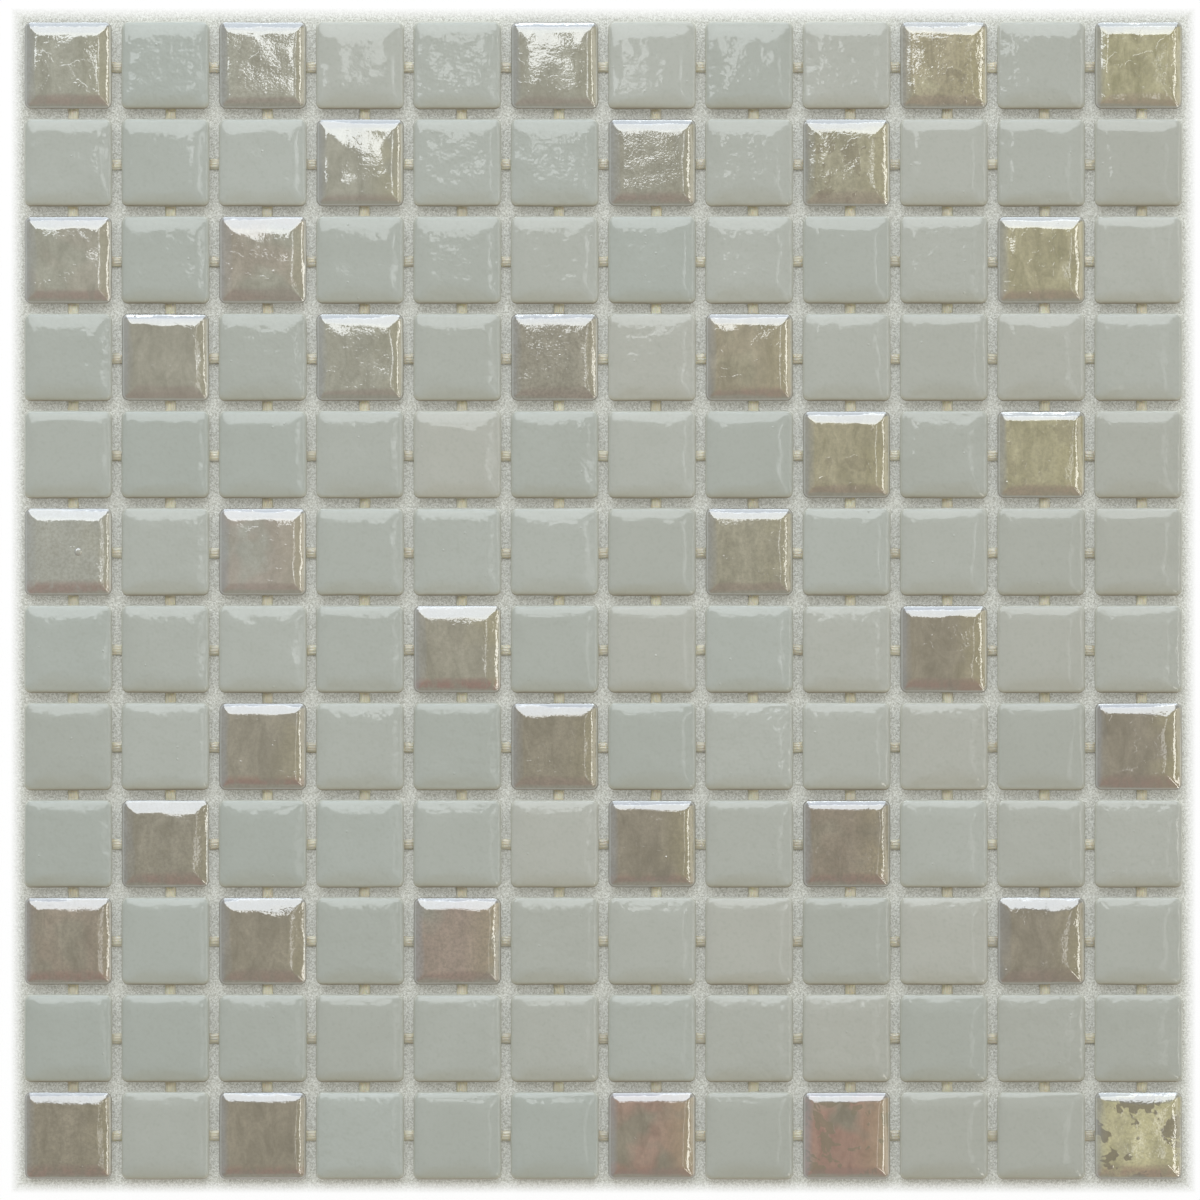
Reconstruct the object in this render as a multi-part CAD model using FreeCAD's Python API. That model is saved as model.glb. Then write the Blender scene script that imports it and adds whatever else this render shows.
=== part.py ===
"""A sheet of small pressed glass mosaic tiles, held together by short strips under their backs.

The frame: +Z points out of the glass faces, rows run along X and row 1 is at the +Y edge.
The origin is the middle of the sheet, on the plane of the strips' undersides.
All sizes are in millimetres.
"""

import FreeCAD
import Part

import math
import os

# Sheet
columns = 12
rows = 12
joint_width = 2.55

# Glass tile, from its back up: drafted sides to the widest line, a steep shoulder, a shallow crown
tile_width = 25.2
corner_radius = 2.0
side_height = 2.4
side_draft = 0.8
shoulder_rise = 0.8
shoulder_run = 0.7
crown_rise = 0.8
crown_run = 3.0
flats_per_corner = 2

# Joint strip, bonded by its broad side to the backs of two neighbouring tiles
strip_width = 3.1
strip_thickness = 0.8
strip_taper = 0.4
strip_lap = 3.0

# How far the strips lie off the middle of the tiles' sides
drop_of_strips_along = 0.3
shift_of_strips_below = 1.2

# The columns that hold a lustre-coated tile, one line for each row from the +Y edge down
lustre_columns = (
    (1, 3, 6, 10, 12),
    (4, 7, 9),
    (1, 3, 11),
    (2, 4, 6, 8),
    (9, 11),
    (1, 3, 8),
    (5, 10),
    (3, 6, 12),
    (2, 7, 9),
    (1, 3, 5, 11),
    (),
    (1, 3, 7, 9, 12),
)

quarter_turn = math.pi / 2
tile_pitch = tile_width + joint_width
tile_back_width = tile_width - 2 * side_draft
crown_foot_width = tile_width - 2 * shoulder_run
face_width = crown_foot_width - 2 * crown_run
crown_foot_height = side_height + shoulder_rise
tile_thickness = crown_foot_height + crown_rise
strip_length = tile_pitch - tile_back_width + 2 * strip_lap


def flat_face(points):
    """A flat face inside the closed polygon through the points."""
    return Part.Face(Part.makePolygon(points + points[:1]))


def flat_sided_solid(outlines):
    """A solid with flat sides from each outline up to the next, which has as many points."""
    faces = [flat_face(outlines[0]), flat_face(outlines[-1])]
    for lower, upper in zip(outlines, outlines[1:]):
        for i in range(len(lower)):
            faces.append(flat_face([lower[i - 1], lower[i], upper[i], upper[i - 1]]))
    return Part.makeSolid(Part.makeShell(faces))


def rectangle(length, width, height):
    """The corners of a rectangle at a height, its length along X."""
    x = length / 2
    y = width / 2
    return [FreeCAD.Vector(*corner, height) for corner in ((-x, -y), (x, -y), (x, y), (-x, y))]


def rounded_square(width, radius, height):
    """The points of a square at a height, each corner rounded by short flats along its arc."""
    to_arc_centre = width / 2 - radius
    points = []
    for corner in range(4):
        start = corner * quarter_turn
        diagonal = start + quarter_turn / 2
        x = math.copysign(to_arc_centre, math.cos(diagonal))
        y = math.copysign(to_arc_centre, math.sin(diagonal))
        for step in range(flats_per_corner + 1):
            angle = start + quarter_turn * step / flats_per_corner
            points.append(
                FreeCAD.Vector(x + radius * math.cos(angle), y + radius * math.sin(angle), height)
            )
    return points


def side_outline(height):
    """The outline of the drafted sides at a height. It is tile_width wide at side_height."""
    flare = side_draft * (height - side_height) / side_height
    return rounded_square(tile_width + 2 * flare, corner_radius + flare, height)


def glass_tile():
    """One pressed tile standing on its back. The shoulder and the crown are mitred at the corners,
    and they cut the drafted sides off along the widest line."""
    sides = flat_sided_solid([side_outline(0), side_outline(tile_thickness)])
    shoulder_slope = shoulder_run / shoulder_rise
    shoulder_width_at_back = crown_foot_width + 2 * shoulder_slope * crown_foot_height
    pressed_face = flat_sided_solid(
        [
            rectangle(shoulder_width_at_back, shoulder_width_at_back, 0),
            rectangle(crown_foot_width, crown_foot_width, crown_foot_height),
            rectangle(face_width, face_width, tile_thickness),
        ]
    )
    return sides.common(pressed_face)


def joint_strip():
    """One strip that bridges along X, narrower all round at its underside than at the glass."""
    underside = rectangle(strip_length - 2 * strip_taper, strip_width - 2 * strip_taper, 0)
    return flat_sided_solid([underside, rectangle(strip_length, strip_width, strip_thickness)])


def tile_place(row, column):
    """The middle of a tile, in the plane of the strips' undersides. Row 1, column 1 is at -X, +Y."""
    x = (column - (columns + 1) / 2) * tile_pitch
    y = ((rows + 1) / 2 - row) * tile_pitch
    return FreeCAD.Vector(x, y, 0)


def moved(shape, vector):
    """A copy of a shape, moved by a vector."""
    copy = shape.copy()
    copy.translate(vector)
    return copy


def is_lustre(row, column):
    """Whether the tile at a place has the lustre coat."""
    return column in lustre_columns[(row - 1) % len(lustre_columns)]


def export(node, solids):
    """Writes the solids of one node, if it has any."""
    if solids:
        Part.makeCompound(solids).exportStep(f"parts/{node}.step")


def export_tiles():
    """The tiles of each row, seated on the strips: one node of plain tiles and one of lustre tiles."""
    tile = moved(glass_tile(), FreeCAD.Vector(0, 0, strip_thickness))
    for row in range(1, rows + 1):
        plain = []
        lustre = []
        for column in range(1, columns + 1):
            kind = lustre if is_lustre(row, column) else plain
            kind.append(moved(tile, tile_place(row, column)))
        export(f"plain_tiles_row_{row:02d}", plain)
        export(f"lustre_tiles_row_{row:02d}", lustre)


def export_strips():
    """A node of the strips along each row, and a node of those from each row to the one below."""
    strip_along = joint_strip()
    strip_below = strip_along.rotated(FreeCAD.Vector(0, 0, 0), FreeCAD.Vector(0, 0, 1), 90)
    to_the_right = FreeCAD.Vector(tile_pitch / 2, -drop_of_strips_along, 0)
    down = FreeCAD.Vector(shift_of_strips_below, -tile_pitch / 2, 0)
    for row in range(1, rows + 1):
        places = [tile_place(row, column) + to_the_right for column in range(1, columns)]
        export(f"joint_strips_along_row_{row:02d}", [moved(strip_along, place) for place in places])
    for row in range(1, rows):
        places = [tile_place(row, column) + down for column in range(1, columns + 1)]
        export(f"joint_strips_below_row_{row:02d}", [moved(strip_below, place) for place in places])


os.makedirs("parts", exist_ok=True)
export_tiles()
export_strips()
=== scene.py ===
"""The looks of a glass mosaic sheet: pressed tiles, lustre tiles and the strips that join them.

Lengths are in metres. Row 1 is at +Y, column 1 at -X, and +Z points out of the glass faces.
"""

import math

import bpy
import numpy as np
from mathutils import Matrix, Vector
from mathutils.geometry import delaunay_2d_cdt


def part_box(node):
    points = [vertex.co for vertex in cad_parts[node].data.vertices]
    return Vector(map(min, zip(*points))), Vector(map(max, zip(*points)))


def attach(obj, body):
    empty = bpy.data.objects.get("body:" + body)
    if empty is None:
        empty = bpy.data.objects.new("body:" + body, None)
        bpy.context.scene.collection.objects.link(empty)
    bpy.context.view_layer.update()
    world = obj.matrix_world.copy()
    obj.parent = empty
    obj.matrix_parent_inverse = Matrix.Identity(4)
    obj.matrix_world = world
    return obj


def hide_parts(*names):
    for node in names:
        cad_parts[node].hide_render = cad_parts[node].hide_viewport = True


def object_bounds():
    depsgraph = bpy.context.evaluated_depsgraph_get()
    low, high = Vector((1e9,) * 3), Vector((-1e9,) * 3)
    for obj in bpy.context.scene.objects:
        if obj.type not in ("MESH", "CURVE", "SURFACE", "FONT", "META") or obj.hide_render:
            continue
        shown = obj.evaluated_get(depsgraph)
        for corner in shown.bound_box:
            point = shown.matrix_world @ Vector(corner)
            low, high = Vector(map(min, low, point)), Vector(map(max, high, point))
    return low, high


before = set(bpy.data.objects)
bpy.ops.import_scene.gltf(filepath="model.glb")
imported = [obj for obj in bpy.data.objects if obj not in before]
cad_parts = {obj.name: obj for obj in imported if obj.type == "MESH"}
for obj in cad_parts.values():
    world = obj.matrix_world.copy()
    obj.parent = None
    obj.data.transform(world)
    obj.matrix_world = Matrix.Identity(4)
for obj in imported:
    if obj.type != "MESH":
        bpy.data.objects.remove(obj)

cad_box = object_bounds()

MM = 0.001

# Places taken from the frame
COLUMNS = 12
first_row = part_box("plain_tiles_row_01")
second_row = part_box("plain_tiles_row_02")
TILE_WIDTH = first_row[1].y - first_row[0].y
BACK_Z = first_row[0].z
TILE_THICKNESS = first_row[1].z - BACK_Z
PITCH = first_row[0].y - second_row[0].y
FIRST_X = cad_box[0].x + TILE_WIDTH / 2
FIRST_Y = cad_box[1].y - TILE_WIDTH / 2

# The tile's moulding. An inset is a distance in from the widest line.
CORNER_RADIUS = 2.0 * MM
WIDEST_Z = 2.4 * MM
SIDE_DRAFT = 0.8 * MM
SHOULDER_RUN = 0.7 * MM
RISE = 1.56 * MM
SHARP_CORNER = 0.3 * MM
SOFT_CORNER = 1.9 * MM
GRID_INSETS = np.array([
    0, 0.08, 0.18, 0.3, 0.5, 0.8, 1.05, 1.3, 1.7, 2.3, 2.9, 3.4, 3.8, 4.2, 4.7, 5.4, 6.4, 7.6, 8.8,
    10.0, 11.3,
]) * MM
# The rings down the sides: the share of the height of the widest line, and an extra inset in mm
SIDE_RINGS = ((0.6, 0.0), (0.16, 0.0), (0.05, 0.04), (0.0, 0.16))

# Sections of the pressed face, with slopes in degrees and places in mm in from the edge. A pair
# (least, most) is a range that each tile takes its own value from.
SECTION_LENGTH = 9 * MM
SECTION_POINTS = 451
SOFT_SHOULDER_SLOPE = 62
SOFT_SHOULDER_FADE = 2.2
SOFT_CROWN_SLOPE = (14.5, 17)
SOFT_CROWN_RUN = (4.6, 7.2)
FACET_EDGE_PLACES = [0, 0.2, 0.35, 1.25, 1.75]
FACET_EDGE_SLOPES = [50, 40, 28, 24, 19]
FACET_CROWN_START = 2.3
FACET_CROWN_END = (3.0, 4.4)
FACET_CROWN_SLOPE = (10.5, 16.5)
FACET_CROWN_BEND = 0.4
FACET_CROWN_FADE = 0.93
FACET_FACE_RUN = (2.0, 5.0)
FACET_FACE_SHARE = (0.12, 0.45)
FACET_DIP_SLOPE = (-3, 6)
FACET_DIP_PLACE = 0.7
FACET_DIP_WIDTH = 0.5

# How the pressed tiles differ from the moulding and from each other
LOBES = (1, 2, 3, 5)
EDGE_IN = 0.07
EDGE_LOBES = 0.035
LUSTRE_EDGE_IN = 0.1
EDGE_REACH = 4 * MM
LEAST_EDGE_IN = 0.01 * MM
CROWN_LOBES = 0.1
CROWN_LEAN = 0.12
CROWN_LEAN_TURN = 0.8
WAVE_LENGTHS = np.array([13.0, 9.0, 6.5, 4.6, 3.3]) * MM
WAVE_SLOPES = np.array([0.014, 0.015, 0.013, 0.01, 0.007])
PLAIN_WAVES = 0.9
LUSTRE_WAVES = 1.15
WAVE_FREE_RIM = 1.5 * MM
DOME = (-0.01, 0.03)
TILT = 0.006
CEILING_GAP = 0.02 * MM
CEILING_SOFTNESS = 0.1 * MM
RIPPLE = (0.3, 1.3)
PHASE = (0, 6.28)

# Ribs pressed into the tile's back
GROOVES = 8
GROOVE_PITCH = 2.35 * MM
GROOVE_WIDTH = 1.3 * MM
GROOVE_LENGTH = 18.0 * MM
GROOVE_SLOPE = 0.3 * MM
GROOVE_DEPTH = 0.35 * MM
GROOVE_CORNER_CUT = 0.6

# A blister in the face of one lustre tile, placed from the middle of the tile's back. Its rings are
# shares of its radius and height. The inset tells the material that it isn't near the tile's edge.
BLISTER_TILE = (6, 1)
BLISTER_PLACE = (3.0 * MM, 0.0)
BLISTER_RADIUS = 1.1 * MM
BLISTER_HEIGHT = 0.2 * MM
BLISTER_RINGS = ((0.45, 0.88), (0.8, 0.55), (1.0, 0.1), (1.0, -0.3))
BLISTER_SIDES = 20
BLISTER_INSET = 9.0

# How glass and coat change over the sheet: the value in the middle, the gain from side to side to
# the right and from foot to top, the spread of the random part, and the most
TONE = (0.5, 0.8, 0, 0.25, 1)
OLIVE = (0.18, -1.05, 1.8, 0.12, 1)
RED = (-0.05, 0, 0, 0.15, 1)
# Share of a golden sheen painted on the right side of a lustre tile, more in the right-hand columns
PAINTED_SIDE_SHEEN = (0.2, 0.5, 0, 0.12, 0.45)
# Share of a red reflection painted at the foot of a lustre tile, more towards the bottom rows
PAINTED_FOOT_REFLECTION = (0.3, 0, -0.6, 0.2, 0.8)
GOLD_TO_RIGHT = 2.2
GOLD_IN_MIDDLE = 0.3
GOLD_TO_TOP = 7
GOLD_SPREAD = 0.08
STAIN = (0, 0.15)

# Lustre tiles, by row and column, with a coat unlike their neighbours'
RED_TILES = {
    (8, 12): 0.0, (10, 1): 0.15, (10, 5): 0.35, (12, 7): 0.55, (12, 9): 0.75, (12, 12): 0.0,
}
STAINED_TILES = {
    (1, 10): 0.5, (1, 12): 0.15, (2, 9): 0.5, (5, 9): 0.3, (5, 11): 0.25, (12, 9): 0.7,
    (12, 12): 0.9,
}
PALE_TILES = {(6, 1): 0.4, (6, 3): 0.35, (10, 5): 0.25}
GOLDEN_TILE = (12, 12)
# Share of a painted sheen, pale gold patches over the gold coat of the golden tile
GOLDEN_TILE_PAINTED_SHEEN = 0.55

# Joint strips. Stations are places along a strip, from end to end, and the end is where it narrows.
STRIP_WIDTH = 3.1 * MM
STRIP_TAPER = 0.4 * MM
STRIP_LAP = 3.0 * MM
STRIP_DOME = 0.35 * MM
STRIP_RIBS = 4
STRIP_RIB_HEIGHT = 0.09 * MM
STRIP_STATIONS = np.array([
    -1, -0.97, -0.9, -0.7, -0.55, -0.42, -0.28, -0.1, 0.1, 0.28, 0.42, 0.55, 0.7, 0.9, 0.97, 1,
])
STRIP_POINTS_ACROSS = 15
STRIP_WANDER_LENGTHS = (9 * MM, 5 * MM)
STRIP_WANDER_SLOPES = (0.05, 0.04)
STRIP_END = 0.9
STRIP_END_NARROWING = 0.12
STRIP_EDGE_DROP = 0.3
STRIP_TONE = (0, 0.4)
# Turned strips lie in the shade of the joints between rows, and a lighter tone paints light on them
TURNED_STRIPS_PAINTED_LIGHT = 0.6
STRIP_SEED_X = 1e5
STRIP_SEED_Y = 1e6

# Relief of the glass. Scales are in cells per metre, and ripple depths are at a ripple value of 1.
RIPPLE_SCALE = 260
RIPPLE_ROUGHNESS = 0.54
PLAIN_RIPPLE_DEPTH = 0.19 * MM
PLAIN_RIPPLE_DETAIL = 2.0
LUSTRE_RIPPLE_DEPTH = 0.1 * MM
LUSTRE_RIPPLE_DETAIL = 4.0
FILM_BORDER = (0.55, 0.57)
PLAIN_FILM_SCALE = 150
PLAIN_FILM_DEPTH = 0.005 * MM
LUSTRE_FILM_SCALE = 130
LUSTRE_FILM_DEPTH = 0.012 * MM
COAT_GRAIN_SCALE = 1600
COAT_GRAIN_DEPTH = (0.004 * MM, 0.035 * MM)
SEED_SCALE = 330.0
SEED_RADIUS = 0.14
SEED_HEIGHT = 0.1 * MM
SHARE_WITHOUT_SEED = 0.9

# Colours as they show on screen, from 0 to 255. A pair is the dark and the light of a mottled one.
COOL_GLASS = ((166, 170, 164), (173, 177, 172))
WARM_GLASS = ((170, 170, 162), (178, 178, 171))
DEEP_GLASS = (134, 140, 132)
GLASS_SPECKS = (150, 154, 144)
# Painted glow of light through the thin glass at the rim of a plain tile
GLASS_RIM_PAINTED_GLOW = (196, 196, 182)
BROWN_COAT = ((121, 113, 98), (149, 140, 124))
OLIVE_COAT = ((143, 142, 129), (168, 167, 154))
GOLD_COAT = ((144, 139, 106), (191, 184, 150))
RED_COAT = ((146, 107, 95), (178, 138, 124))
PALE_COAT = (178, 182, 178)
# Painted sheen over the coat of the golden tile
PAINTED_SHEEN_OF_GOLDEN_TILE = (214, 206, 160)
# Painted golden sheen on the right side of a lustre tile
PAINTED_SIDE_SHEEN_COLOUR = (170, 161, 118)
# Painted red reflection at the foot of a lustre tile
PAINTED_FOOT_REFLECTION_COLOUR = (146, 102, 90)
STAIN_COAT = (122, 113, 92)
COAT_PITS = (108, 102, 88)
COAT_PALE_LINE = (184, 189, 188)
COAT_RIM = (120, 115, 100)
# The light end of the pair serves mostly the turned strips, as painted light over their shade
AMBER = ((206, 200, 183), (250, 244, 221))
AMBER_STREAKS = (190, 182, 162)
FLOOR_GRAIN = ((187, 187, 178), (234, 235, 229))

# Painted light and shade on slopes, by the way a slope faces: the axis that a slope faces, the part
# of its normal along it where the colour starts and where it has its full share, that share, and
# the colour
# Painted warm reflection of the floor on the slopes of a plain tile that face -Y
GLASS_FOOT_PAINTED_REFLECTION = ("Y", -0.04, -0.4, 0.3, (174, 166, 136))
# Painted shadow, dark brown, on the steep lowest edge of a plain tile that faces -Y
GLASS_EDGE_PAINTED_SHADOW = ("Y", -0.45, -0.8, 0.7, (136, 124, 104))
# Painted reflections on a lustre tile: reddish and grey-green on slopes facing -Y, yellow facing
# +X, blue-grey facing -X and dark grey facing +Y
COAT_PAINTED_REFLECTIONS = (
    ("Y", -0.06, -0.26, 0.4, (146, 125, 121)),
    ("Y", -0.33, -0.43, 0.7, (146, 147, 136)),
    ("X", 0.05, 0.28, 0.35, (160, 152, 122)),
    ("X", -0.14, -0.42, 0.5, (138, 143, 150)),
    ("Y", 0.14, 0.26, 0.6, (116, 118, 124)),
)
# Painted shadow, dark brown, on the steep lowest edge of a lustre tile that faces -Y
COAT_EDGE_PAINTED_SHADOW = ("Y", -0.62, -0.78, 0.9, (122, 106, 84))

# Camera: the photograph's frame at the plane of the glass faces
VIEW_WIDTH = 341.9 * MM
VIEW_MIDDLE = (-0.95 * MM, 0.14 * MM)
CAMERA_DISTANCE = 1.5
SENSOR_WIDTH = 36.0

# The floor and its white surroundings, from the sheet's edge out
FLOOR_SIZE = 6.0
WHITE_FROM = 0.6 * MM
WHITE_TO = 4.2 * MM
# Under the sheet a smaller glow is painted light that lifts the shade in the joints between the
# tiles
GLOW_IN_JOINTS = 0.27
GLOW_OUTSIDE = 0.92
WHITE = (1, 1, 1, 1)

# Fill light of the studio, low down and overhead. Heights are sines of the angle above the horizon,
# and between the two of WHITE_HORIZON the white of the horizon passes into the fill light.
FILL_COLOUR = (1.0, 0.965, 0.84, 1)
FILL_AT_HORIZON = 0.62
FILL_OVERHEAD = 0.36
OVERHEAD_FROM = 0.9
WHITE_HORIZON = (0.14, 0.22)

# Soft boxes: name, tilt, azimuth, distance, size along the horizon, size across it, radiance and
# colour, and for one with a narrow beam its spread and aim. area_light explains them.
BLUE_WHITE = (0.91, 0.96, 1.0)
SKY_BLUE = (0.70, 0.82, 1.0)
PALE_BLUE = (0.86, 0.93, 1.0)
DAYLIGHT = (0.95, 0.98, 1.0)
WARM_WHITE = (1.0, 0.99, 0.93)
LAMP_YELLOW = (1.0, 0.97, 0.88)
LIGHTS = (
    ("key_soft_box", 35, -12, 2.2, 2.2, 1.48, 2.85, BLUE_WHITE),
    ("low_soft_box", 63, 0, 3.2, 3.2, 1.3, 2.1, SKY_BLUE),
    ("low_strip", 77, 0, 3.2, 3.6, 0.3, 6.0, PALE_BLUE),
    ("roof_window", 11.8, -8, 3.2, 0.3, 0.4, 2.8, DAYLIGHT),
    ("side_strip", 16, 110, 3.2, 0.9, 0.2, 1.0, WHITE[:3]),
    ("side_window", 14, 66, 3.2, 0.7, 0.34, 3.4, DAYLIGHT, 10, (-0.13, 0.08)),
    ("side_soft_box", 38, 92, 3.2, 2.4, 0.27, 3.1, WARM_WHITE),
    ("side_fill", 53, 92, 3.2, 2.4, 0.9, 0.6, WARM_WHITE),
    ("corner_lamp", 40, 137, 3.2, 0.24, 1.6, 5.0, LAMP_YELLOW),
)

FULL_TURN = 2 * math.pi
TINY = 1e-12
MERGE_DISTANCE = 1e-7


def columns_in(node):
    """The columns that a node has tiles in, read from its vertices. Column 1 is at -X."""
    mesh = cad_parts[node].data
    return sorted({round((v.co.x - FIRST_X) / PITCH) + 1 for v in mesh.vertices})


def tile_place(row, column):
    """The middle of a tile's back."""
    return np.array([FIRST_X + (column - 1) * PITCH, FIRST_Y - (row - 1) * PITCH, BACK_Z])


class Moulding:
    """What all the tiles share, made once: the grid of the upper side, its rim and the ribbed back.

    The grid's lines are closer together near the edges. A loop of the grid holds the points whose
    larger coordinate is the same, and lies at one inset from the tile's edge."""

    def __init__(self):
        half = TILE_WIDTH / 2
        self.cells = 2 * len(GRID_INSETS)
        steps = np.arange(-len(GRID_INSETS), len(GRID_INSETS) + 1)
        insets = np.append(GRID_INSETS, half)
        line = np.sign(steps) * (half - insets[len(GRID_INSETS) - np.abs(steps)])
        self.x, self.y = [a.ravel() for a in np.meshgrid(line, line)]
        self.rim = self.find_rim()
        self.back_faces, self.back_points = self.make_back()

    def find_rim(self):
        """The grid's outer points in order round the tile, counterclockwise from -X -Y."""
        n = self.cells
        side = n + 1
        bottom = list(range(n))
        right = [k * side + n for k in range(n)]
        top = [n * side + n - k for k in range(n)]
        left = [(n - k) * side for k in range(n)]
        return np.array(bottom + right + top + left)

    def make_back(self):
        """The back's faces, round the grooves, and the groove points with their depths."""
        half = TILE_WIDTH / 2
        outline = rounded(self.x[self.rim], self.y[self.rim], half, CORNER_RADIUS, SHARP_CORNER)
        shrink = 1 - (SIDE_DRAFT + SIDE_RINGS[-1][1] * MM) / half
        points = [Vector((x, y)) for x, y in np.stack(outline, 1) * shrink]
        edges = [(k, (k + 1) % len(points)) for k in range(len(points))]
        depths = [0.0] * len(points)
        for groove in range(GROOVES):
            y = (groove - (GROOVES - 1) / 2) * GROOVE_PITCH
            for depth, slope in ((0.0, 0.0), (GROOVE_DEPTH, GROOVE_SLOPE)):
                start = len(points)
                a = GROOVE_LENGTH / 2 - slope
                b = GROOVE_WIDTH / 2 - slope
                cut = b * GROOVE_CORNER_CUT
                corners = [(-a, -b + cut), (-a + cut, -b), (a - cut, -b), (a, -b + cut)]
                corners += [(a, b - cut), (a - cut, b), (-a + cut, b), (-a, b - cut)]
                points += [Vector((cx, y + cy)) for cx, cy in corners]
                edges += [(start + k, start + (k + 1) % 8) for k in range(8)]
                depths += [depth] * 8
        made_faces, made_from = delaunay_2d_cdt(points, edges, [], 0, MERGE_DISTANCE)[2:4]
        origin = [ids[0] for ids in made_from]
        faces = [[origin[k] for k in reversed(face)] for face in made_faces]
        extra = [(p.x, p.y, d) for p, d in zip(points, depths)][len(self.rim):]
        return faces, np.array(extra)


def rounded(x, y, outer_half, outer_radius, least_radius):
    """Moves points of square loops about the origin onto loops with round corners. The outermost
    loop has the outer radius, and each loop further in has a radius smaller by its inset."""
    half = np.maximum(np.abs(x), np.abs(y))
    radius = np.maximum(outer_radius - (outer_half - half), least_radius)
    radius = np.minimum(radius, half)
    out = []
    for a, b in ((x, y), (y, x)):
        along = np.clip((np.abs(a) - (half - radius)) / np.maximum(radius, TINY), 0, 1)
        across = np.clip((np.abs(b) - (half - radius)) / np.maximum(radius, TINY), 0, 1)
        is_side = np.abs(b) >= np.abs(a) - TINY
        place = np.where(
            is_side,
            half - radius + radius * np.sin(along * math.pi / 4),
            half - radius + radius * np.cos(across * math.pi / 4),
        )
        straight = is_side & (along <= 0)
        out.append(np.where(straight, a, np.sign(a) * place))
    return out


def rise_above(slope, step):
    """The rise along a section with these slopes, scaled to the tile's rise."""
    fall = np.tan(slope)
    rise = np.concatenate([[0], np.cumsum((fall[1:] + fall[:-1]) / 2) * step])
    return rise * RISE / rise.max()


def soft_profile(rng, inset):
    """The slope of a fire-polished tile. The shoulder runs into a crown that flattens softly."""
    crown_slope = math.radians(rng.uniform(*SOFT_CROWN_SLOPE))
    crown_run = rng.uniform(*SOFT_CROWN_RUN) * MM
    shoulder = np.clip(1 - inset / (2 * SHOULDER_RUN), 0, 1) ** SOFT_SHOULDER_FADE
    shoulder = math.radians(SOFT_SHOULDER_SLOPE) * shoulder
    part = np.clip((inset - SHOULDER_RUN) / crown_run, 0, 1)
    return shoulder + crown_slope * (1 - part * part * (3 - 2 * part))


def facetted_profile(rng, inset):
    """The slope of a lustre tile: a steep edge, a narrow facet, the broad facet of the crown, and a
    face that is nearly flat. Some faces dip a little just inside the crown."""
    crown_slope = math.radians(rng.uniform(*FACET_CROWN_SLOPE))
    crown_end = rng.uniform(*FACET_CROWN_END)
    flat_from = crown_end + rng.uniform(*FACET_FACE_RUN)
    bend = (crown_end - FACET_CROWN_BEND, crown_end + FACET_CROWN_BEND)
    places = np.array([*FACET_EDGE_PLACES, FACET_CROWN_START, *bend, flat_from]) * MM
    slopes = [math.radians(slope) for slope in FACET_EDGE_SLOPES]
    face_slope = crown_slope * rng.uniform(*FACET_FACE_SHARE)
    slopes += [crown_slope, crown_slope * FACET_CROWN_FADE, face_slope, 0]
    slope = np.interp(inset, places, slopes)
    dip = math.radians(max(0.0, rng.uniform(*FACET_DIP_SLOPE)))
    from_dip = inset - crown_end * MM - FACET_DIP_PLACE * MM
    return slope - dip * np.exp(-((from_dip / (FACET_DIP_WIDTH * MM)) ** 2))


def waves(rng, x, y, lengths, slopes):
    """A sum of plane waves with random directions and phases, each with its length and slope."""
    total = np.zeros_like(x)
    for length, slope in zip(lengths, slopes):
        direction = rng.uniform(0, math.pi)
        phase = rng.uniform(0, FULL_TURN)
        k = FULL_TURN / length
        total += slope / k * np.sin(k * (x * math.cos(direction) + y * math.sin(direction)) + phase)
    return total


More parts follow.
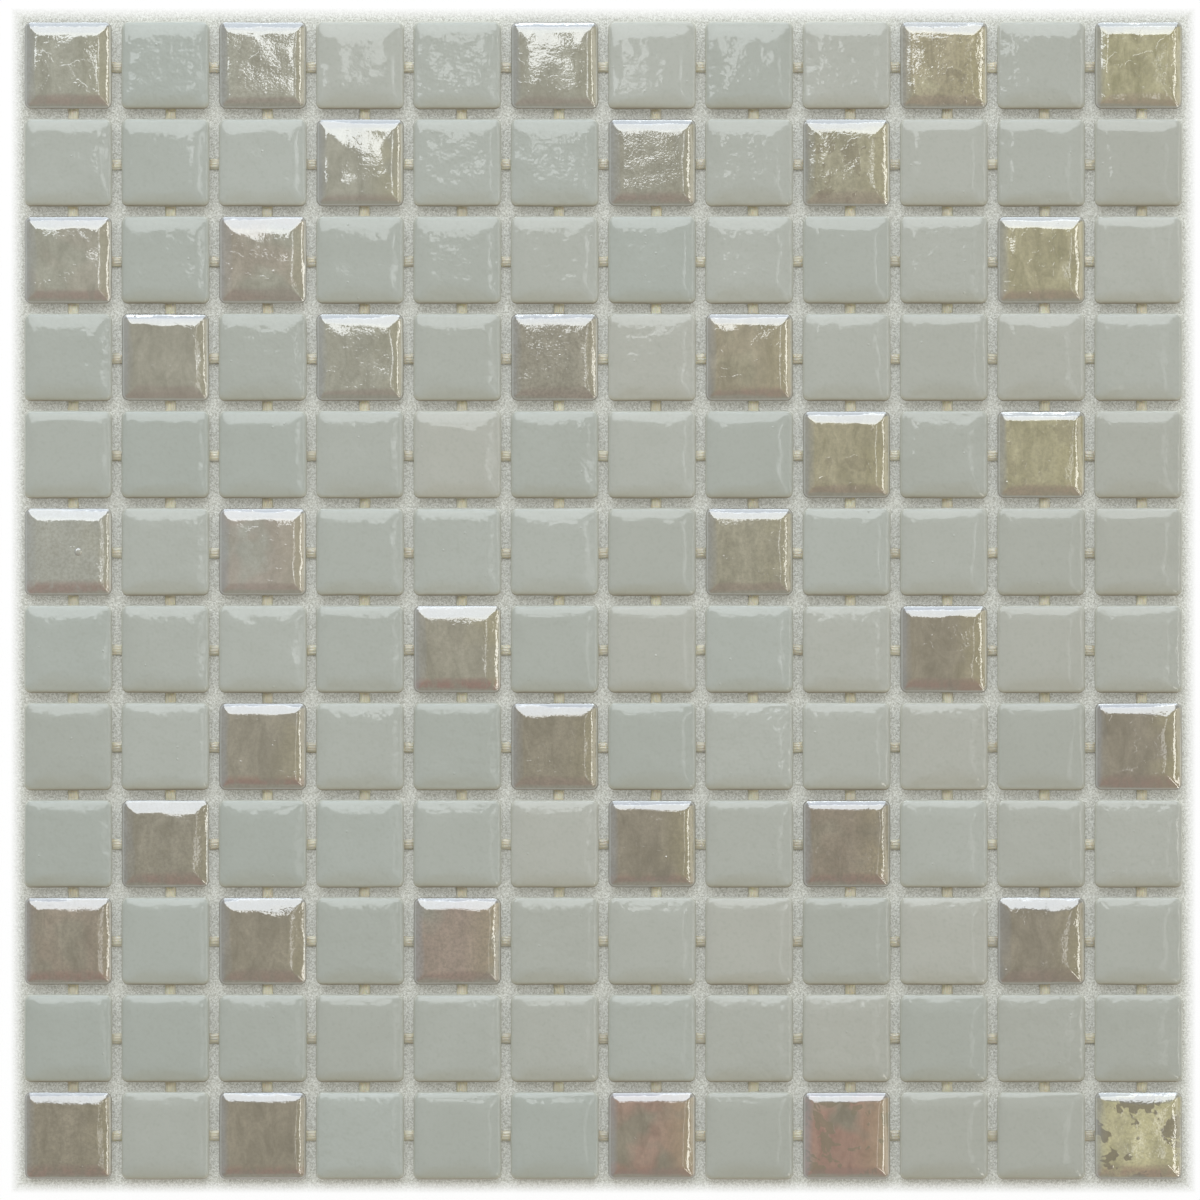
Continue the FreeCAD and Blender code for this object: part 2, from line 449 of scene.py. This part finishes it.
def tile_points(moulding, rng, is_lustre):
    """The points of one tile about the middle of its back, and how far each lies in from the edge:
    the upper grid, the rings down the sides and the back's grooves. Every tile is pressed a little
    differently."""
    half = TILE_WIDTH / 2
    least_radius = SHARP_CORNER if is_lustre else SOFT_CORNER
    x, y = rounded(moulding.x, moulding.y, half, CORNER_RADIUS, least_radius)
    square_half = np.maximum(np.abs(moulding.x), np.abs(moulding.y))
    inset = half - square_half

    turn = np.arctan2(moulding.y, moulding.x)
    lobes = sum(rng.uniform(-1, 1) * np.cos(k * turn + rng.uniform(*PHASE)) for k in LOBES)
    near_edge = np.clip(1 - inset / EDGE_REACH, 0, 1)
    edge_in = (EDGE_IN + EDGE_LOBES * lobes) * MM
    if is_lustre:
        edge_in = edge_in + LUSTRE_EDGE_IN * MM
    shrink = 1 - np.maximum(edge_in, LEAST_EDGE_IN) / half * near_edge
    x = x * shrink
    y = y * shrink

    section = np.linspace(0, SECTION_LENGTH, SECTION_POINTS)
    slope = facetted_profile(rng, section) if is_lustre else soft_profile(rng, section)
    profile = rise_above(slope, section[1])
    stretch = 1 + CROWN_LOBES * lobes + CROWN_LEAN * np.cos(turn + CROWN_LEAN_TURN)
    stretched = SHOULDER_RUN + (inset - SHOULDER_RUN) / stretch
    stretched = np.where(inset > SHOULDER_RUN, stretched, inset)
    rise = np.interp(stretched, section, profile)
    off_rim = np.clip(inset / WAVE_FREE_RIM, 0, 1)
    wave_slopes = WAVE_SLOPES * (LUSTRE_WAVES if is_lustre else PLAIN_WAVES)
    rise = rise + waves(rng, x, y, WAVE_LENGTHS, wave_slopes) * off_rim
    dome = rng.uniform(*DOME) * MM * (1 - (square_half / half) ** 2)
    tilt = rng.normal(0, TILT, 2)
    rise = rise + dome + (tilt[0] * x + tilt[1] * y) * off_rim
    # Rises close to the solid's top are held just under it
    highest = TILE_THICKNESS - WIDEST_Z
    near_ceiling = CEILING_GAP * np.tanh((rise - highest) / CEILING_SOFTNESS)
    rise = np.minimum(rise, highest - CEILING_GAP + near_ceiling)
    top = np.stack([x, y, WIDEST_Z + rise], 1)

    rim = top[moulding.rim]
    rings = []
    for height, extra_in in SIDE_RINGS:
        inward = SIDE_DRAFT * (1 - height) + extra_in * MM
        ring = rim.copy()
        ring[:, :2] *= 1 - inward / half
        ring[:, 2] = WIDEST_Z * height
        rings.append(ring)
    points = np.concatenate([top, *rings, moulding.back_points])
    insets = np.concatenate([inset, np.zeros(len(points) - len(top))]) / MM
    return points, insets


def tile_faces(moulding):
    """The faces of one tile, as lists of point numbers."""
    n = moulding.cells
    side = n + 1
    faces = []
    for row in range(n):
        for column in range(n):
            a = row * side + column
            quad = [a, a + 1, a + 1 + side, a + side]
            # The diagonals point to the middle, so that the mitres run along edges
            left_half = column < n // 2
            lower_half = row < n // 2
            if left_half != lower_half:
                quad = quad[1:] + quad[:1]
            faces.append([quad[0], quad[1], quad[2]])
            faces.append([quad[0], quad[2], quad[3]])
    count = len(moulding.rim)
    upper = list(moulding.rim)
    start = side * side
    for ring in range(len(SIDE_RINGS)):
        lower = list(range(start + ring * count, start + (ring + 1) * count))
        for k in range(count):
            m = (k + 1) % count
            faces.append([lower[k], lower[m], upper[m], upper[k]])
        upper = lower
    back_start = start + len(SIDE_RINGS) * count
    numbers = upper + list(range(back_start, back_start + len(moulding.back_points)))
    faces += [[numbers[k] for k in face] for face in moulding.back_faces]
    return faces


def new_piece(name, points, faces, material, floats):
    """A smooth mesh object. floats holds named values for each point, for the material to read."""
    mesh = bpy.data.meshes.new(name)
    mesh.from_pydata(points.tolist(), [], faces)
    for key, values in floats.items():
        layer = mesh.attributes.new(key, "FLOAT", "POINT")
        layer.data.foreach_set("value", np.asarray(values, dtype=np.float32))
    mesh.materials.append(material)
    mesh.polygons.foreach_set("use_smooth", [True] * len(mesh.polygons))
    mesh.update()
    piece = bpy.data.objects.new(name, mesh)
    bpy.context.scene.collection.objects.link(piece)
    return piece


def blister_points_and_faces(z):
    """A small closed blister that stands half out of a face at this height."""
    x, y = BLISTER_PLACE
    points = [(x, y, z + BLISTER_HEIGHT), (x, y, z - BLISTER_HEIGHT)]
    faces = []
    for share, lift in BLISTER_RINGS:
        reach = BLISTER_RADIUS * share
        for k in range(BLISTER_SIDES):
            angle = FULL_TURN * k / BLISTER_SIDES
            beside = (x + reach * math.cos(angle), y + reach * math.sin(angle))
            points.append((*beside, z + BLISTER_HEIGHT * lift))
    last_ring = 2 + (len(BLISTER_RINGS) - 1) * BLISTER_SIDES
    for k in range(BLISTER_SIDES):
        m = (k + 1) % BLISTER_SIDES
        faces.append([0, 2 + k, 2 + m])
        for a in range(2, last_ring, BLISTER_SIDES):
            b = a + BLISTER_SIDES
            faces.append([a + k, b + k, b + m, a + m])
        faces.append([1, last_ring + m, last_ring + k])
    return np.array(points), faces


def with_blister(points, insets, faces):
    """A tile's points, insets and faces with the blister added. The face is set lower, so that the
    blister on it stays under the solid's top."""
    points[:, 2] -= BLISTER_HEIGHT * np.clip(points[:, 2] - WIDEST_Z, 0, RISE) / RISE
    away = np.hypot(points[:, 0] - BLISTER_PLACE[0], points[:, 1] - BLISTER_PLACE[1])
    face_z = points[np.argmin(away + (points[:, 2] < WIDEST_Z)), 2]
    more_points, more_faces = blister_points_and_faces(face_z)
    return (
        np.concatenate([points, more_points]),
        np.concatenate([insets, np.full(len(more_points), BLISTER_INSET)]),
        faces + [[len(points) + k for k in face] for face in more_faces],
    )


def place_on_sheet(row, column):
    """How far right and how far up of the middle a tile lies, as shares of the sheet."""
    return (column - (COLUMNS + 1) / 2) / COLUMNS, ((COLUMNS + 1) / 2 - row) / COLUMNS


def trend(rng, right, up, middle, to_right, to_top, spread, most):
    """A tile's value that changes evenly over the sheet, with a random part of this spread."""
    return np.clip(middle + to_right * right + to_top * up + rng.normal(0, spread), 0, most)


def tint(rng, row, column):
    """How the glass of a plain tile differs from its neighbours', each value from 0 to 1. It is a
    little warmer towards +X."""
    right, up = place_on_sheet(row, column)
    return {"tone": trend(rng, right, up, *TONE), "depth": rng.uniform(0, 1)}


def coat(rng, row, column):
    """How the coat of a lustre tile differs from its neighbours', each value from 0 to 1. It is
    more olive towards -X +Y, more golden towards +X +Y, and browner towards -Y. Three values are
    shares of painted light: a golden sheen on the right side, a red reflection at the foot that
    grows towards -Y, and a sheen on the golden tile."""
    tile = (row, column)
    right, up = place_on_sheet(row, column)
    above_middle = np.clip(GOLD_IN_MIDDLE + GOLD_TO_TOP * up, 0, 1)
    gold = GOLD_TO_RIGHT * right * above_middle + rng.normal(0, GOLD_SPREAD)
    if tile == GOLDEN_TILE:
        gold = 1.0
    return {
        "gold": np.clip(gold, 0, 1),
        "olive": trend(rng, right, up, *OLIVE),
        "red": RED_TILES.get(tile, trend(rng, right, up, *RED)),
        "pale": PALE_TILES.get(tile, 0.0),
        "stain": STAINED_TILES.get(tile, rng.uniform(*STAIN)),
        # Share of the painted golden sheen on the right side
        "painted_side_sheen_share": trend(rng, right, up, *PAINTED_SIDE_SHEEN),
        # Share of the painted red reflection at the foot
        "painted_foot_reflection_share": trend(rng, right, up, *PAINTED_FOOT_REFLECTION),
        "grain": rng.uniform(0, 1),
        # The glow value is the share of the painted sheen on the golden tile
        "glow": GOLDEN_TILE_PAINTED_SHEEN if tile == GOLDEN_TILE else 0.0,
    }


def build_tiles(moulding, node, row, is_lustre, material):
    """One piece with the tiles of a node."""
    every_tile = tile_faces(moulding)
    all_points = []
    all_faces = []
    count = 0
    floats = {}
    for column in columns_in(node):
        rng = np.random.default_rng(1000 * row + 10 * column + is_lustre)
        points, insets = tile_points(moulding, rng, is_lustre)
        faces = every_tile
        if (row, column) == BLISTER_TILE:
            points, insets, faces = with_blister(points, insets, faces)
        values = (coat if is_lustre else tint)(rng, row, column)
        values["ripple"] = rng.uniform(*RIPPLE)
        values["inset"] = insets
        if is_lustre:
            values["across"] = points[:, 0] / (TILE_WIDTH / 2)
            values["along"] = points[:, 1] / (TILE_WIDTH / 2)
        for key, value in values.items():
            floats.setdefault(key, []).append(np.broadcast_to(value, len(points)))
        all_faces += [[count + k for k in face] for face in faces]
        all_points.append(points + tile_place(row, column))
        count += len(points)
    floats = {key: np.concatenate(parts) for key, parts in floats.items()}
    name = node.replace("_row_", "_glass_row_")
    piece = new_piece(name, np.concatenate(all_points), all_faces, material, floats)
    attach(piece, "root")
    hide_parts(node)


def strip_points_and_faces(rng, length):
    """One joint strip that bridges along X about its middle, its underside at z = 0. Ribs run along
    its upper side where the joint leaves it open."""
    stations = STRIP_STATIONS
    across = np.linspace(-1, 1, STRIP_POINTS_ACROSS)
    half = STRIP_WIDTH / 2
    open_half = length / 2 - STRIP_LAP
    axis = np.zeros(len(stations))
    wander = waves(rng, stations * length / 2, axis, STRIP_WANDER_LENGTHS, STRIP_WANDER_SLOPES)
    ribs = rng.uniform(*PHASE) + across * math.pi * STRIP_RIBS
    rim = across ** 8
    points = []
    for station, shift in zip(stations, wander):
        x = station * length / 2
        into_end = max(0.0, (abs(station) - STRIP_END) / (1 - STRIP_END))
        end_round = 1 - STRIP_END_NARROWING * into_end ** 2
        open_part = max(0.0, 1 - (x / open_half) ** 2) ** 0.5
        lift = open_part * (STRIP_DOME * (1 - across ** 2) + STRIP_RIB_HEIGHT * np.cos(ribs))
        top = BACK_Z * (1 - STRIP_EDGE_DROP * rim) + lift * (1 - rim)
        y = across * half * end_round + shift
        points += [(x, b, z) for b, z in zip(y, top)]
        low = (half - STRIP_TAPER) * end_round
        points += [(x, low + shift, 0.0), (x, -low + shift, 0.0)]
    count = len(across) + 2
    faces = []
    for i in range(len(stations) - 1):
        for k in range(count):
            m = (k + 1) % count
            faces.append([i * count + k, (i + 1) * count + k, (i + 1) * count + m, i * count + m])
    faces.append(list(range(count)))
    faces.append([(len(stations) - 1) * count + k for k in reversed(range(count))])
    return np.array(points), faces


def build_strips(node, count, turned, material):
    """One piece with the strips of a node, in the places of its solids. Turned strips bridge along
    Y."""
    low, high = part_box(node)
    span = (count - 1) * PITCH
    length = high.y - low.y if turned else high.x - low.x - span
    first_x = low.x + (STRIP_WIDTH if turned else length) / 2
    y = (low.y + high.y) / 2
    all_points = []
    all_faces = []
    strip_tones_with_painted_light = []
    for x in first_x + np.arange(count) * PITCH:
        rng = np.random.default_rng(int(STRIP_SEED_X * (x + 1)) + int(STRIP_SEED_Y * (y + 1)))
        points, faces = strip_points_and_faces(rng, length)
        if turned:
            points = points[:, [1, 0, 2]] * np.array([-1, 1, 1])
        points = points + np.array([x, y, 0])
        start = sum(len(p) for p in all_points)
        all_faces += [[start + k for k in face] for face in faces]
        all_points.append(points)
        # The tone is random, and lighter on turned strips as painted light over the shade of their
        # joints
        tone = rng.uniform(*STRIP_TONE) + (TURNED_STRIPS_PAINTED_LIGHT if turned else 0)
        strip_tones_with_painted_light.append(np.full(len(points), tone))
    name = node.replace("joint_strips", "glue_strips")
    floats = {"tone": np.concatenate(strip_tones_with_painted_light)}
    piece = new_piece(name, np.concatenate(all_points), all_faces, material, floats)
    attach(piece, "root")
    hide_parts(node)


class Nodes:
    """Short calls that add and join the shader nodes of a material or a world."""

    def __init__(self, owner, output):
        self.owner = owner
        self.owner.use_nodes = True
        self.tree = self.owner.node_tree
        self.tree.nodes.clear()
        self.output = self.add(output)

    def add(self, kind, values=None, **settings):
        """A new node, with values for its inputs and settings of its own."""
        node = self.tree.nodes.new("ShaderNode" + kind)
        for key, value in settings.items():
            setattr(node, key, value)
        for key, value in (values or {}).items():
            self.put(node.inputs[key], value)
        return node

    def put(self, socket, value):
        """Links a socket or the first output of a node to an input, or sets a constant there."""
        if isinstance(value, bpy.types.NodeSocket):
            self.tree.links.new(value, socket)
        elif isinstance(value, bpy.types.Node):
            self.tree.links.new(value.outputs[0], socket)
        else:
            socket.default_value = value

    def attribute(self, name):
        return self.add("Attribute", attribute_name=name).outputs["Fac"]

    def object_place(self):
        return self.add("TexCoord").outputs["Object"]

    def noise(self, scale, detail=2.0, roughness=0.5, place=None, distortion=0.0):
        return self.add("TexNoise", {
            "Vector": place or self.object_place(),
            "Scale": scale,
            "Detail": detail,
            "Roughness": roughness,
            "Distortion": distortion,
        }).outputs["Fac"]

    def ramp(self, value, low, high, to_low=0.0, to_high=1.0):
        """The value carried evenly from one range to another, and held at its ends."""
        return self.add("MapRange", {
            "Value": value,
            "From Min": low,
            "From Max": high,
            "To Min": to_low,
            "To Max": to_high,
        }).outputs["Result"]

    def math(self, operation, a, b=0.0):
        node = self.add("Math", operation=operation)
        self.put(node.inputs[0], a)
        self.put(node.inputs[1], b)
        return node.outputs[0]

    def mix(self, factor, a, b):
        node = self.add("Mix", data_type="RGBA")
        self.put(node.inputs["Factor"], factor)
        self.put(node.inputs["A"], a)
        self.put(node.inputs["B"], b)
        return node.outputs["Result"]

    def mottled(self, share, pair):
        """A colour between the two of a pair."""
        return self.mix(share, srgb(*pair[0]), srgb(*pair[1]))

    def over(self, colour, share, upper):
        """The colour with a share of another over it."""
        return self.mix(share, colour, srgb(*upper))

    def paint_light_on_slopes(self, colour, axis, start, end, share, upper):
        """The colour with painted light or shade over it on the slopes that face along an axis."""
        along_axis = self.add("SeparateXYZ", {"Vector": self.add("NewGeometry").outputs["Normal"]})
        shown = self.ramp(along_axis.outputs[axis], start, end, 0.0, share)
        return self.over(colour, shown, upper)

    def mix_shader(self, factor, a, b):
        return self.add("MixShader", {0: factor, 1: a, 2: b})

    def bump(self, height, distance, normal=None):
        values = {"Height": height, "Distance": distance, "Strength": 1.0}
        if normal is not None:
            values["Normal"] = normal
        return self.add("Bump", values).outputs["Normal"]

    def finish(self, shader):
        """Puts the shader out and returns the material or world."""
        self.put(self.output.inputs["Surface"], shader)
        return self.owner


def material_nodes(name):
    """The nodes of a new material."""
    return Nodes(bpy.data.materials.new(name), "OutputMaterial")


def srgb(red, green, blue):
    """A colour as it shows on screen, from 0 to 255, as the linear values a shader takes."""
    linear = [c / 12.92 if c <= 0.04045 else ((c + 0.055) / 1.055) ** 2.4
              for c in (red / 255, green / 255, blue / 255)]
    return (*linear, 1.0)


def film_edges(n, scale):
    """1 inside jagged patches of a film and 0 outside them, with a crisp border."""
    return n.ramp(n.noise(scale, detail=3.0, roughness=0.66, distortion=0.3), *FILM_BORDER)


def glass_relief(n, ripple_depth, ripple_detail, film, film_depth, grain_depth=None):
    """The normal of fire-polished glass: ripples down to fine ones, the borders of a film, seeds
    that stand out here and there, and a grain where the coat has one. Depths are in metres."""
    ripples = n.noise(RIPPLE_SCALE, detail=ripple_detail, roughness=RIPPLE_ROUGHNESS)
    fine = n.bump(ripples, ripple_depth)
    fine = n.bump(film, film_depth, normal=fine)
    if grain_depth is not None:
        fine = n.bump(n.noise(COAT_GRAIN_SCALE, detail=1.0), grain_depth, normal=fine)
    cells = n.add("TexVoronoi", {"Vector": n.object_place(), "Scale": SEED_SCALE})
    seeds = n.ramp(cells.outputs["Distance"], SEED_RADIUS, 0.0)
    random = n.add("SeparateColor", {"Color": cells.outputs["Color"]})
    rare = n.math("GREATER_THAN", random, SHARE_WITHOUT_SEED)
    return n.bump(n.math("MULTIPLY", seeds, rare), SEED_HEIGHT, normal=fine)


def plain_glass():
    """Grey-green opal glass, fire-polished, a little cooler or warmer from tile to tile. On it lie
    a painted warm reflection on the slopes that face -Y, a painted glow of light through the thin
    rim and a painted shadow on the lowest edge.
    """
    n = material_nodes("plain_glass")
    clouds = n.noise(55, detail=2.0, roughness=0.6)
    cool = n.mottled(clouds, COOL_GLASS)
    warm = n.mottled(clouds, WARM_GLASS)
    colour = n.mix(n.attribute("tone"), cool, warm)
    colour = n.over(colour, n.math("MULTIPLY", n.attribute("depth"), 0.18), DEEP_GLASS)
    specks = n.ramp(n.noise(900, detail=1.0), 0.5, 0.9, 0.0, 0.35)
    colour = n.over(colour, specks, GLASS_SPECKS)
    # Painted warm reflection of the floor on the slopes that face -Y
    colour = n.paint_light_on_slopes(colour, *GLASS_FOOT_PAINTED_REFLECTION)
    # Painted glow of light through the thin glass at the rim
    rim = n.ramp(n.attribute("inset"), 0.55, 0.05)
    colour = n.over(colour, n.math("MULTIPLY", rim, 0.6), GLASS_RIM_PAINTED_GLOW)
    # Painted shadow on the steep edge that faces -Y
    colour = n.paint_light_on_slopes(colour, *GLASS_EDGE_PAINTED_SHADOW)
    ripple_depth = n.math("MULTIPLY", n.attribute("ripple"), PLAIN_RIPPLE_DEPTH)
    film = film_edges(n, PLAIN_FILM_SCALE)
    shader = n.add("BsdfPrincipled", {
        "Base Color": colour,
        "Roughness": n.ramp(clouds, 0.3, 0.7, 0.03, 0.06),
        "IOR": 1.52,
        "Normal": glass_relief(n, ripple_depth, PLAIN_RIPPLE_DETAIL, film, PLAIN_FILM_DEPTH),
    })
    return n.finish(shader)


def lustre_glass():
    """Olive-brown glass under a thin metallic coat. Painted reflections make it golder, redder or
    greyer by slope, golden on the right side and red at the foot. A painted sheen lies on the
    golden tile, and a painted shadow on the lowest edge.
    """
    n = material_nodes("lustre_glass")
    grain = n.attribute("grain")
    streaked = n.add("VectorMath", {0: n.object_place(), 1: (1.7, 0.75, 1.0)}, operation="MULTIPLY")
    clouds = n.noise(130, detail=3.0, roughness=0.68, distortion=0.6, place=streaked)
    mottle = n.ramp(clouds, 0.3, 0.7)
    brown = n.mottled(mottle, BROWN_COAT)
    olive = n.mottled(mottle, OLIVE_COAT)
    gold = n.mottled(mottle, GOLD_COAT)
    red = n.mottled(mottle, RED_COAT)
    colour = n.mix(n.attribute("olive"), brown, olive)
    colour = n.mix(n.attribute("gold"), colour, gold)
    colour = n.over(colour, n.attribute("pale"), PALE_COAT)
    patches = n.ramp(n.noise(80, detail=2.0), 0.38, 0.5)
    colour = n.mix(n.math("MULTIPLY", n.attribute("red"), patches), colour, red)
    # Painted sheen in patches on the golden tile, by its glow value
    colour = n.over(colour, n.math("MULTIPLY", n.attribute("glow"), patches), PAINTED_SHEEN_OF_GOLDEN_TILE)
    # Painted golden sheen in patches on the right side of the tile
    painted_side_sheen = n.math("MULTIPLY", n.ramp(n.attribute("across"), 0.1, 0.8), patches)
    painted_side_sheen = n.math("MULTIPLY", painted_side_sheen, n.attribute("painted_side_sheen_share"))
    colour = n.over(colour, painted_side_sheen, PAINTED_SIDE_SHEEN_COLOUR)
    # Painted red reflection in patches at the foot of the tile
    red_foot_reflection = n.ramp(n.attribute("along"), -0.62, -0.78)
    red_foot_reflection = n.math("MULTIPLY", red_foot_reflection, n.ramp(clouds, 0.4, 0.55))
    red_foot_reflection = n.math("MULTIPLY", red_foot_reflection, n.attribute("painted_foot_reflection_share"))
    colour = n.over(colour, red_foot_reflection, PAINTED_FOOT_REFLECTION_COLOUR)
    film = film_edges(n, LUSTRE_FILM_SCALE)
    colour = n.over(colour, n.math("MULTIPLY", film, n.attribute("stain")), STAIN_COAT)
    # Painted reflections on the coat, by the way each slope faces
    for slope in COAT_PAINTED_REFLECTIONS:
        colour = n.paint_light_on_slopes(colour, *slope)
    pits = n.ramp(n.noise(1150, detail=2.0, roughness=0.6), 0.36, 0.6, 1.0, 0.0)
    pits = n.math("MULTIPLY", pits, n.ramp(grain, 0, 1, 0.12, 0.4))
    colour = n.over(colour, pits, COAT_PITS)
    inset = n.attribute("inset")
    colour = n.over(colour, n.ramp(inset, 0.8, 0.6, 0.0, 0.35), COAT_PALE_LINE)
    colour = n.over(colour, n.ramp(inset, 0.35, 0.15, 0.0, 0.6), COAT_RIM)
    # Painted shadow on the steep edge that faces -Y
    colour = n.paint_light_on_slopes(colour, *COAT_EDGE_PAINTED_SHADOW)
    ripple_depth = n.math("MULTIPLY", n.attribute("ripple"), LUSTRE_RIPPLE_DEPTH)
    grain_depth = n.ramp(grain, 0, 1, *COAT_GRAIN_DEPTH)
    relief = glass_relief(
        n, ripple_depth, LUSTRE_RIPPLE_DETAIL, film, LUSTRE_FILM_DEPTH, grain_depth
    )
    shader = n.add("BsdfPrincipled", {
        "Base Color": colour,
        "Roughness": n.ramp(clouds, 0.3, 0.7, 0.03, 0.07),
        "IOR": 2.5,
        "Normal": relief,
    })
    return n.finish(shader)


def strip_plastic():
    """Glossy amber plastic that lets light through."""
    n = material_nodes("strip_plastic")
    # The tone is random, and lighter on turned strips as painted light
    tone = n.attribute("tone")
    streaks = n.noise(330, detail=3.0)
    colour = n.mottled(tone, AMBER)
    colour = n.over(colour, n.ramp(streaks, 0.35, 0.65, 0.0, 0.4), AMBER_STREAKS)
    shader = n.add("BsdfPrincipled", {
        "Base Color": colour,
        "Roughness": 0.2,
        "IOR": 1.5,
        "Subsurface Weight": 0.4,
        "Subsurface Radius": (1.0, 0.8, 0.5),
        "Subsurface Scale": 1.5 * MM,
        "Normal": n.bump(n.noise(600), 0.05 * MM),
    })
    return n.finish(shader)


def floor_finish():
    """Pale grained board, white outside the sheet's edge. It glows for the camera, in reflections
    and through glass, most of all outside the edge, so that it shows as a white background and
    still takes the sheet's shadow. Its smaller glow in the joints under the sheet is painted light
    that lifts their shade."""
    n = material_nodes("floor_finish")
    parts = n.add("SeparateXYZ", {"Vector": n.object_place()})
    across = n.math("ABSOLUTE", parts.outputs["X"])
    up = n.math("ABSOLUTE", parts.outputs["Y"])
    reach = n.math("MAXIMUM", across, up)
    edge = cad_box[1].x
    outside = n.ramp(reach, edge + WHITE_FROM, edge + WHITE_TO)
    grain = n.noise(2000, detail=1.0, roughness=0.5, distortion=1.0)
    near = n.mottled(n.ramp(grain, 0.35, 0.65), FLOOR_GRAIN)
    colour = n.mix(outside, near, WHITE)
    shader = n.add("BsdfPrincipled", {
        "Base Color": colour,
        "Roughness": 0.7,
        "Normal": n.bump(grain, 0.2 * MM),
    })
    glow = n.add("Emission", {"Color": colour, "Strength": 1.0})
    path = n.add("LightPath")
    seen = n.math("MAXIMUM", path.outputs["Is Camera Ray"], path.outputs["Is Glossy Ray"])
    seen = n.math("MAXIMUM", seen, path.outputs["Is Transmission Ray"])
    share = n.math("MULTIPLY", seen, n.ramp(outside, 0, 1, GLOW_IN_JOINTS, GLOW_OUTSIDE))
    return n.finish(n.mix_shader(share, shader, glow))


def studio_world():
    """Dim warm light from all round over a white horizon."""
    n = Nodes(bpy.data.worlds.new("studio"), "OutputWorld")
    direction = n.add("SeparateXYZ", {"Vector": n.add("TexCoord").outputs["Generated"]})
    height = direction.outputs["Z"]
    fill = n.add("Background", {
        "Color": FILL_COLOUR,
        "Strength": n.ramp(height, 0.0, OVERHEAD_FROM, FILL_AT_HORIZON, FILL_OVERHEAD),
    })
    horizon = n.add("Background", {"Color": WHITE, "Strength": 1.0})
    return n.finish(n.mix_shader(n.ramp(height, *WHITE_HORIZON), horizon, fill))


def area_light(
    name, tilt, azimuth, distance, size_x, size_y, radiance, colour, spread=180, aim=(0, 0)
):
    """A soft box that faces the sheet. tilt is from straight up, azimuth from +Y towards +X, in
    degrees. size_x is its size along the horizon and size_y across it. Its power is set from the
    radiance that a mirror would show. A grid before it can narrow its beam to the spread, in
    degrees, about the point of the sheet that it aims at."""
    data = bpy.data.lights.new(name, "AREA")
    data.shape = "RECTANGLE"
    data.size = size_x
    data.size_y = size_y
    data.color = colour
    data.energy = radiance * math.pi * size_x * size_y
    if spread < 180:
        half = math.radians(spread) / 2
        data.spread = 2 * half
        data.energy *= 1 - half / math.tan(half)
    light = bpy.data.objects.new(name, data)
    light.visible_camera = False
    t = math.radians(tilt)
    a = math.radians(azimuth)
    way = Vector((math.sin(t) * math.sin(a), math.sin(t) * math.cos(a), math.cos(t)))
    light.location = way * distance
    light.rotation_mode = "QUATERNION"
    light.rotation_quaternion = (light.location - Vector((*aim, 0))).to_track_quat("Z", "Y")
    bpy.context.scene.collection.objects.link(light)


def build_stage():
    """Floor, lights, world and camera."""
    bpy.ops.mesh.primitive_plane_add(size=FLOOR_SIZE)
    floor = bpy.context.object
    floor.name = "floor"
    floor.data.materials.append(floor_finish())

    for light in LIGHTS:
        area_light(*light)
    bpy.context.scene.world = studio_world()

    data = bpy.data.cameras.new("camera")
    data.sensor_width = SENSOR_WIDTH
    data.lens = SENSOR_WIDTH * CAMERA_DISTANCE / VIEW_WIDTH
    camera = bpy.data.objects.new("camera", data)
    camera.location = (*VIEW_MIDDLE, cad_box[1].z + CAMERA_DISTANCE)
    bpy.context.scene.collection.objects.link(camera)
    bpy.context.scene.camera = camera
    bpy.context.scene.view_settings.view_transform = "Standard"


def build_sheet():
    """Every tile and strip, one piece for each node."""
    moulding = Moulding()
    plain = plain_glass()
    lustre = lustre_glass()
    plastic = strip_plastic()
    for node in sorted(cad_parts):
        row = int(node[-2:])
        if node.startswith("plain_tiles"):
            build_tiles(moulding, node, row, False, plain)
        elif node.startswith("lustre_tiles"):
            build_tiles(moulding, node, row, True, lustre)
        elif "along" in node:
            build_strips(node, COLUMNS - 1, False, plastic)
        else:
            build_strips(node, COLUMNS, True, plastic)


build_sheet()
build_stage()
